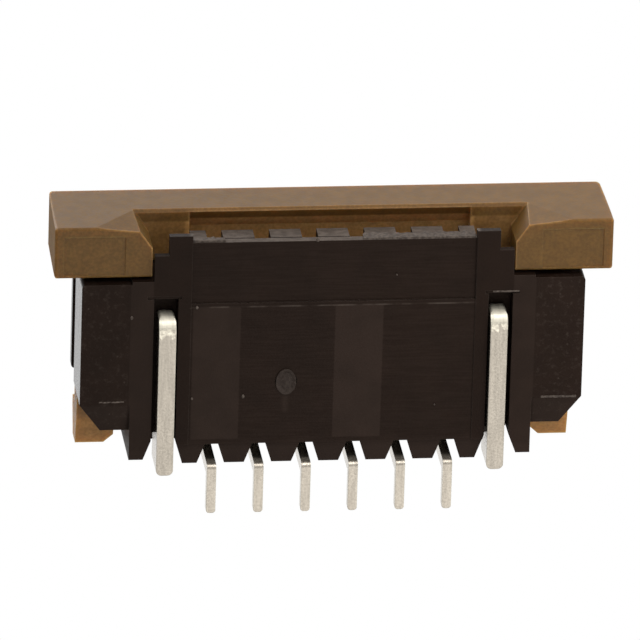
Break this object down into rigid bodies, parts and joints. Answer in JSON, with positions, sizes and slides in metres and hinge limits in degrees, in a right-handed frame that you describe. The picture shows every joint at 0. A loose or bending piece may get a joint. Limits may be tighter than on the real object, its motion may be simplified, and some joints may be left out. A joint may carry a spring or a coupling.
{
  "type": "flat cable connector",
  "caption": "Right-angle surface-mount connector for a flat flexible cable, with spring contacts and a sliding lock bar.",
  "frame": {"origin": "centre of the footprint on the board's surface, under the middle of the overall box", "axes": "+X along the contact row, -Y out of the cable mouth, +Y to the solder feet, +Z away from the board"},
  "size_m": [0.0118, 0.0064, 0.0025],
  "materials": {
    "housing_plastic": "black glass-filled moulding, satin, faintly speckled",
    "slider_plastic": "natural tan-brown moulding, satin, slightly translucent at the edges",
    "tinned_metal": "matt tin plating on stamped copper alloy"
  },
  "bodies": {
    "base": {"housing": "housing_plastic", "solder_tab_left": "tinned_metal", "solder_tab_right": "tinned_metal", "contact_1": "tinned_metal", "contact_2": "tinned_metal", "contact_3": "tinned_metal", "contact_4": "tinned_metal", "contact_5": "tinned_metal", "contact_6": "tinned_metal"},
    "lock": {"slider": "slider_plastic"}
  },
  "joints": [
    {"name": "slider_slide", "type": "slide", "parent": "base", "child": "lock", "axis": [0, -1, 0], "range_m": [0, 0.0007]}
  ]
}
